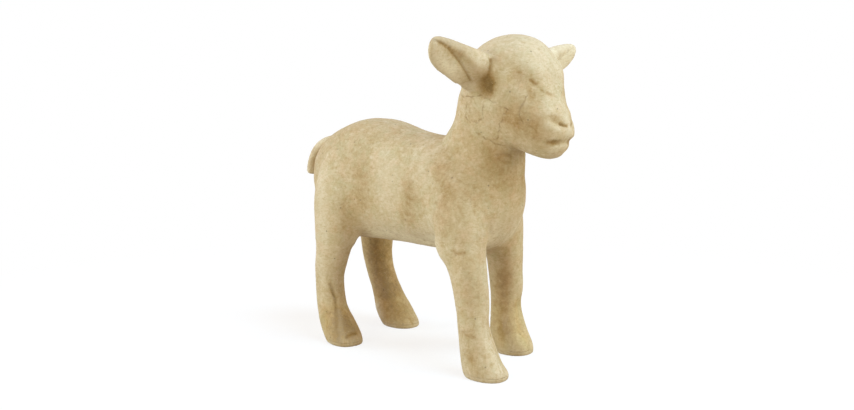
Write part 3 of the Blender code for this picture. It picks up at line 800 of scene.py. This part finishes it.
def band(tree, value, low, high, bottom=0.0, top=1.0):
    node = tree.nodes.new("ShaderNodeMapRange")
    link(tree, value, node.inputs["Value"])
    for name, number in (("From Min", low), ("From Max", high), ("To Min", bottom), ("To Max", top)):
        node.inputs[name].default_value = number
    return node.outputs[0]


def attributeNode(tree, name):
    node = tree.nodes.new("ShaderNodeAttribute")
    node.attribute_name = name
    return node.outputs["Fac"]


def channelsOf(tree, colour):
    node = tree.nodes.new("ShaderNodeSeparateColor")
    link(tree, colour, node.inputs[0])
    return node.outputs


def stretched(tree, place, scale):
    node = tree.nodes.new("ShaderNodeMapping")
    node.inputs["Scale"].default_value = scale
    link(tree, place, node.inputs["Vector"])
    return node.outputs[0]


def tintedPatches(tree, torn, crossed):
    layers = {
        "first": channelsOf(tree, cellNode(tree, torn, paper["patch"], "F1", "Color")),
        "second": channelsOf(tree, cellNode(tree, crossed, paper["secondPatch"], "F1", "Color")),
    }
    colour = kraftTones["plain"]
    for layer, channel, begin, strength, tone in patchTints:
        share = band(tree, layers[layer][channel], begin, 1.0, top=strength)
        colour = mixColour(tree, share, colour, kraftTones[tone])
    return colour


def addBlotches(tree, place, colour):
    for start, size, low, high, strength, tone in blotches:
        spread = noiseNode(tree, shifted(tree, place, start), size * mm, detail=4.0, roughness=0.62)
        share = band(tree, spread, low, high, top=strength)
        colour = mixColour(tree, share, colour, kraftTones[tone])
    return colour


def edgeStrength(tree, place, torn, crossed):
    # Edges of the patches show in some areas
    edge = cellNode(tree, torn, paper["patch"], "DISTANCE_TO_EDGE", "Distance")
    edge = band(tree, edge, 0.0, tornEdges["width"], bottom=1.0, top=0.0)
    area = noiseNode(tree, place, tornEdges["areaSize"], detail=1.0)
    shown = band(tree, area, *tornEdges["area"])
    edge = mathNode(tree, "MULTIPLY", edge, shown)
    second = cellNode(tree, crossed, paper["secondPatch"], "DISTANCE_TO_EDGE", "Distance")
    second = band(tree, second, 0.0, tornEdges["secondWidth"], bottom=1.0, top=0.0)
    elsewhere = shifted(tree, place, tornEdges["secondStart"])
    area = noiseNode(tree, elsewhere, tornEdges["areaSize"], detail=1.0)
    shown = band(tree, area, *tornEdges["secondArea"])
    edge = mathNode(tree, "MAXIMUM", edge, mathNode(tree, "MULTIPLY", second, shown))
    edge = mathNode(tree, "MULTIPLY", edge, tornEdges["strength"])
    # The lines of patchLines waver a little
    waver = centredNoise(tree, place, tornEdges["waverSize"], detail=3.0, roughness=0.6)
    waver = mathNode(tree, "MULTIPLY", waver, tornEdges["waver"])
    side = mathNode(tree, "ABSOLUTE", mathNode(tree, "ADD", attributeNode(tree, "patchSide"), waver))
    near = band(tree, attributeNode(tree, "patchNear"), *tornEdges["lineNear"])
    line = band(tree, side, *tornEdges["line"], bottom=1.0, top=0.0)
    line = mathNode(tree, "MULTIPLY", line, near)
    edge = mathNode(tree, "MAXIMUM", edge, mathNode(tree, "MULTIPLY", line, tornEdges["lineStrength"]))
    # All of them fade here and there
    spread = noiseNode(tree, place, tornEdges["gapSize"], detail=3.0)
    kept = band(tree, spread, *tornEdges["gap"], bottom=tornEdges["leastInGap"])
    return mathNode(tree, "MULTIPLY", edge, kept)


# Painted shade and highlight, painted warm shade and the paper's own tints
def addPaintedShadeAndTints(tree, place, colour):
    shadeAndTint = attributeNode(tree, "shadeAndTint")
    for size, detail, low, high, least, most in tintNoises:
        spread = noiseNode(tree, place, size * mm, detail, roughness=0.6)
        shadeAndTint = mathNode(tree, "MULTIPLY", shadeAndTint, band(tree, spread, low, high, least, most))
    values = {"shadeAndTint": shadeAndTint, "warmShade": attributeNode(tree, "warmShade"), "hollow": attributeNode(tree, "hollow")}
    for value, begin, full, strength, tone, blend in paintedShadeAndTints:
        share = band(tree, values[value], begin, full, top=strength)
        colour = mixColour(tree, share, colour, kraftTones[tone], blend)
    return colour


def addLegGrain(tree, place, colour):
    moved = wandered(tree, place, legGrain["wander"], legGrain["wanderSize"])
    combed = stretched(tree, moved, legGrain["stretch"])
    spread = noiseNode(tree, combed, legGrain["size"], detail=3.0, roughness=0.6)
    height = tree.nodes.new("ShaderNodeSeparateXYZ")
    link(tree, place, height.inputs[0])
    low = band(tree, height.outputs["Z"], *legGrain["heights"], top=legGrain["strength"])
    grain = mathNode(tree, "MULTIPLY", band(tree, spread, *legGrain["levels"]), low)
    return mixColour(tree, grain, colour, kraftTones["tan"])


def addSpecks(tree, place, colour):
    cell = tree.nodes.new("ShaderNodeTexVoronoi")
    cell.inputs["Scale"].default_value = 1 / specks["spacing"]
    link(tree, place, cell.inputs["Vector"])
    dot = band(tree, cell.outputs["Distance"], *specks["radius"], bottom=1.0, top=0.0)
    chosen = band(tree, channelsOf(tree, cell.outputs["Color"])["Red"], *specks["chosen"])
    speck = mathNode(tree, "MULTIPLY", mathNode(tree, "MULTIPLY", dot, chosen), specks["strength"])
    return mixColour(tree, speck, colour, kraftTones["speck"])


def addFibres(tree, place, colour):
    # Gives the pattern of the fibres too, for the bump
    moved = wandered(tree, place, fibres["wander"], fibres["wanderSize"])
    combed = stretched(tree, moved, fibres["stretch"])
    fibre = noiseNode(tree, combed, fibres["size"], detail=6.0, roughness=0.8)
    share = band(tree, fibre, *fibres["levels"], top=fibres["strength"])
    colour = mixColour(tree, share, colour, kraftTones["pale"])
    elsewhere = shifted(tree, combed, fibres["streakStart"])
    streak = noiseNode(tree, elsewhere, fibres["streakSize"], detail=4.0, roughness=0.7)
    share = band(tree, streak, *fibres["streakLevels"], top=fibres["streakStrength"])
    return mixColour(tree, share, colour, kraftTones["tan"]), fibre


def addBump(tree, place, fibre, edge, shader):
    # Fine tooth, the fibres and the step at each patch edge
    tooth = noiseNode(tree, place, kraftSurface["toothSize"], detail=4.0, roughness=0.6)
    tooth = mathNode(tree, "MULTIPLY", tooth, kraftSurface["tooth"])
    level = mathNode(tree, "ADD", tooth, mathNode(tree, "MULTIPLY", fibre, kraftSurface["fibre"]))
    level = mathNode(tree, "SUBTRACT", level, mathNode(tree, "MULTIPLY", edge, kraftSurface["edge"]))
    bump = tree.nodes.new("ShaderNodeBump")
    bump.inputs["Strength"].default_value = kraftSurface["bumpStrength"]
    bump.inputs["Distance"].default_value = kraftSurface["bumpHeight"]
    link(tree, level, bump.inputs["Height"])
    link(tree, bump.outputs["Normal"], shader.inputs["Normal"])


def makeKraft(name):
    material = bpy.data.materials.new(name)
    material.use_nodes = True
    tree = material.node_tree
    shader = tree.nodes["Principled BSDF"]
    place = tree.nodes.new("ShaderNodeTexCoord").outputs["Object"]
    torn = wandered(tree, place, paper["wander"], paper["wanderSize"])
    crossed = shifted(tree, torn, paper["secondStart"])
    edge = edgeStrength(tree, place, torn, crossed)
    colour = tintedPatches(tree, torn, crossed)
    colour = addBlotches(tree, place, colour)
    dark = mathNode(tree, "MULTIPLY", edge, tornEdges["darkness"])
    colour = mixColour(tree, dark, colour, kraftTones["brown"])
    colour = addPaintedShadeAndTints(tree, place, colour)
    colour = addLegGrain(tree, place, colour)
    colour = addSpecks(tree, place, colour)
    colour, fibre = addFibres(tree, place, colour)
    link(tree, colour, shader.inputs["Base Color"])
    shader.inputs["Roughness"].default_value = kraftSurface["roughness"]
    shader.inputs["Specular IOR Level"].default_value = kraftSurface["specular"]
    addBump(tree, place, fibre, edge, shader)
    return material


skinKraft = makeKraft("kraftSkin")
soleKraft = makeKraft("kraftSole")


def inputId(tree, name):
    return next(item.identifier for item in tree.interface.items_tree
                if item.item_type == "SOCKET" and item.in_out == "INPUT" and item.name == name)


def tearPaper(thing, material):
    relief = thing.modifiers.new("tornPaper", "NODES")
    relief.node_group = makeReliefTree(material)
    for name in reliefInputs:
        relief[inputId(relief.node_group, name)] = paper[name.lower()]
    bake(thing)
    # The feet stand flat
    points = pointsOf(thing.data)
    points[:, 2] = np.maximum(points[:, 2], 0)
    setPoints(thing.data, points)


tearPaper(skin, skinKraft)
print("skin: torn paper laid on")


def slicedCopy(thing, name, height, upper):
    # The part of a closed body above or below a level, closed again
    shape = bmesh.new()
    shape.from_mesh(thing.data)
    everything = list(shape.verts) + list(shape.edges) + list(shape.faces)
    bmesh.ops.bisect_plane(shape, geom=everything, plane_co=(0, 0, height), plane_no=(0, 0, 1),
                           clear_inner=upper, clear_outer=not upper)
    rims = [edge for edge in shape.edges if edge.is_boundary]
    caps = bmesh.ops.holes_fill(shape, edges=rims, sides=0)["faces"]
    bmesh.ops.triangulate(shape, faces=caps)
    mesh = bpy.data.meshes.new(name)
    shape.to_mesh(mesh)
    shape.free()
    return newObject(name, mesh)


def splitSoles():
    top = skinSizes["soleTop"]
    feet = slicedCopy(skin, "feet", top - skinSizes["soleGap"], False)
    upper = slicedCopy(skin, "paperSkin", top, True)
    bpy.data.objects.remove(skin)
    upper.name = "paperSkin"
    soles = {}
    for node in soleNodes:
        low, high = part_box(node)
        middle = (low + high) / 2
        shape = bmesh.new()
        shape.from_mesh(feet.data)
        away = [vertex for vertex in shape.verts
                if abs(vertex.co.x - middle.x) > skinSizes["footReach"] or vertex.co.y * middle.y < 0]
        bmesh.ops.delete(shape, geom=away, context="VERTS")
        mesh = bpy.data.meshes.new(node)
        shape.to_mesh(mesh)
        shape.free()
        words = node.split("_")
        piece = newObject(words[0] + words[1].title() + "CardSole", mesh)
        mesh.materials.append(soleKraft)
        soles[node] = piece
    bpy.data.objects.remove(feet)
    return upper, soles


skin, soles = splitSoles()
skin.data.materials.clear()
skin.data.materials.append(skinKraft)
for piece in [skin] + list(soles.values()):
    piece.data.shade_smooth()


def trianglesOf(mesh):
    return sum(len(face.vertices) - 2 for face in mesh.polygons)


def thin(thing, faces):
    have = trianglesOf(thing.data)
    if have > faces:
        fewer = thing.modifiers.new("fewer", "DECIMATE")
        fewer.ratio = faces / have
        bake(thing)
    print(thing.name + ":", trianglesOf(thing.data), "triangles")


thin(skin, skinSizes["faces"])
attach(skin, "root")
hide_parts(*shellNodes, *trimNodes, *stripNodes)
for node, piece in soles.items():
    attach(piece, "root")
    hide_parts(node)


# Floor and light
studio = {
    "floorSize": 6.0,
    "floorShadow": 0.2,
    "shadowFade": (0.12, 0.4),  # distances from the object between which its shadow fades
    "floorBounce": (0.56, 0.50, 0.42, 1.0),
    "floorRoughness": 0.9,
    "worldLevel": 0.5,
    "worldColour": (1.0, 0.62, 0.30, 1.0),
    "aim": (0, 0, 0.09),
    "lampSize": 0.7,
    "lampDistance": 1.2,
    # name, azimuth, elevation, power in watts, colour
    "lamps": [
        ("leftSoftBox", -60, 14, 10.5, (0.56, 0.76, 1.0)),
        ("rightSoftBox", 118, 16, 6.7, (0.83, 1.0, 0.95)),
        ("frontSoftBox", 0, 14, 5.4, (0.8, 1.0, 0.9)),
        ("upperSoftBox", 90, 62, 14.0, (0.46, 0.72, 1.0)),
    ],
}


def makeFloor():
    half = studio["floorSize"] / 2
    mesh = bpy.data.meshes.new("paleFloor")
    mesh.from_pydata([(-half, -half, 0), (half, -half, 0), (half, half, 0), (-half, half, 0)], [],
                     [(0, 1, 2, 3)])
    floor = newObject("paleFloor", mesh)
    material = bpy.data.materials.new("paleFloor")
    material.use_nodes = True
    tree = material.node_tree
    # The camera sees white with the object's shadow on it, the object gets a softer bounce
    bounce = tree.nodes["Principled BSDF"]
    bounce.inputs["Base Color"].default_value = studio["floorBounce"]
    bounce.inputs["Roughness"].default_value = studio["floorRoughness"]
    shaded = tree.nodes.new("ShaderNodeBsdfDiffuse")
    shaded.inputs["Color"].default_value = (1.0, 1.0, 1.0, 1.0)
    white = tree.nodes.new("ShaderNodeEmission")
    seen = tree.nodes.new("ShaderNodeMixShader")
    away = tree.nodes.new("ShaderNodeVectorMath")
    away.operation = "LENGTH"
    link(tree, tree.nodes.new("ShaderNodeTexCoord").outputs["Object"], away.inputs[0])
    shadow = band(tree, away.outputs["Value"], *studio["shadowFade"], bottom=studio["floorShadow"], top=0.0)
    link(tree, shadow, seen.inputs[0])
    link(tree, white.outputs[0], seen.inputs[1])
    link(tree, shaded.outputs[0], seen.inputs[2])
    rays = tree.nodes.new("ShaderNodeLightPath")
    pick = tree.nodes.new("ShaderNodeMixShader")
    link(tree, rays.outputs["Is Camera Ray"], pick.inputs[0])
    link(tree, bounce.outputs[0], pick.inputs[1])
    link(tree, seen.outputs[0], pick.inputs[2])
    link(tree, pick.outputs[0], tree.nodes["Material Output"].inputs["Surface"])
    mesh.materials.append(material)


def makeWorld():
    world = bpy.data.worlds.new("studio")
    world.use_nodes = True
    tree = world.node_tree
    soft = tree.nodes["Background"]
    soft.inputs["Color"].default_value = studio["worldColour"]
    soft.inputs["Strength"].default_value = studio["worldLevel"]
    white = tree.nodes.new("ShaderNodeBackground")
    white.inputs["Color"].default_value = (1.0, 1.0, 1.0, 1.0)
    rays = tree.nodes.new("ShaderNodeLightPath")
    pick = tree.nodes.new("ShaderNodeMixShader")
    link(tree, rays.outputs["Is Camera Ray"], pick.inputs["Fac"])
    link(tree, soft.outputs["Background"], pick.inputs[1])
    link(tree, white.outputs["Background"], pick.inputs[2])
    link(tree, pick.outputs["Shader"], tree.nodes["World Output"].inputs["Surface"])
    bpy.context.scene.world = world


def makeLamps():
    for name, azimuth, elevation, power, colour in studio["lamps"]:
        data = bpy.data.lights.new(name, "AREA")
        data.shape = "DISK"
        data.size = studio["lampSize"]
        data.energy = power
        data.color = colour
        lamp = newObject(name, data)
        back = directionOf(azimuth, elevation)
        lamp.location = Vector(studio["aim"]) + back * studio["lampDistance"]
        lamp.rotation_euler = (-back).to_track_quat("-Z", "Y").to_euler()


makeFloor()
makeWorld()
makeLamps()
bpy.context.scene.view_settings.view_transform = "Standard"
